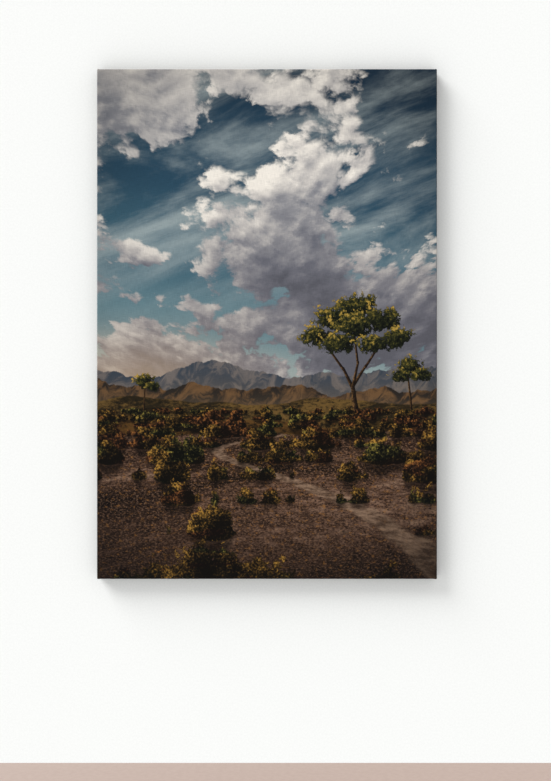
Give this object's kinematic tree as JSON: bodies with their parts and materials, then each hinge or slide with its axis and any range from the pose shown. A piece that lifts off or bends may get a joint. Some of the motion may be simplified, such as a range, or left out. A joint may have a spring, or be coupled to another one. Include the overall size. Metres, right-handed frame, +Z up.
{
  "type": "canvas wall print",
  "caption": "Frameless canvas wall print: printed canvas stretched round a braced pine frame with corner wedges, hung on a hook by a toothed plate, with soft wall pads.",
  "frame": {"origin": "on the wall's plane, where the hook carries the middle notch of the toothed hanger plate", "axes": "+Z up along the print's height, +Y out of the back into the wall, so the picture faces -Y; +X to the right as seen from the front"},
  "size_m": [1.016, 0.0431, 1.524],
  "materials": {
    "printed_canvas": "matt cotton canvas with a printed picture, bare and off-white behind",
    "bar_pine": "planed bare pine",
    "brace_pine": "planed bare pine, paler",
    "wedge_beech": "sawn bare beech",
    "hanger_steel": "zinc plated pressed steel",
    "screw_steel": "yellow passivated screws",
    "staple_steel": "galvanised staple wire",
    "pad_rubber": "soft matt foam rubber"
  },
  "bodies": {
    "root": {"bar_bottom": "bar_pine", "bar_left": "bar_pine", "bar_right": "bar_pine", "bar_top": "bar_pine", "brace_level": "brace_pine", "brace_upright": "brace_pine", "canvas": "printed_canvas", "hanger": "hanger_steel", "hanger_screw_left": "screw_steel", "hanger_screw_right": "screw_steel", "pad_bottom_left": "pad_rubber", "pad_bottom_right": "pad_rubber", "pad_top_left": "pad_rubber", "pad_top_right": "pad_rubber", "wedge_bottom_left": "wedge_beech", "wedge_bottom_right": "wedge_beech", "wedge_left_bottom": "wedge_beech", "wedge_left_top": "wedge_beech", "wedge_right_bottom": "wedge_beech", "wedge_right_top": "wedge_beech", "wedge_top_left": "wedge_beech", "wedge_top_right": "wedge_beech"}
  },
  "joints": []
}
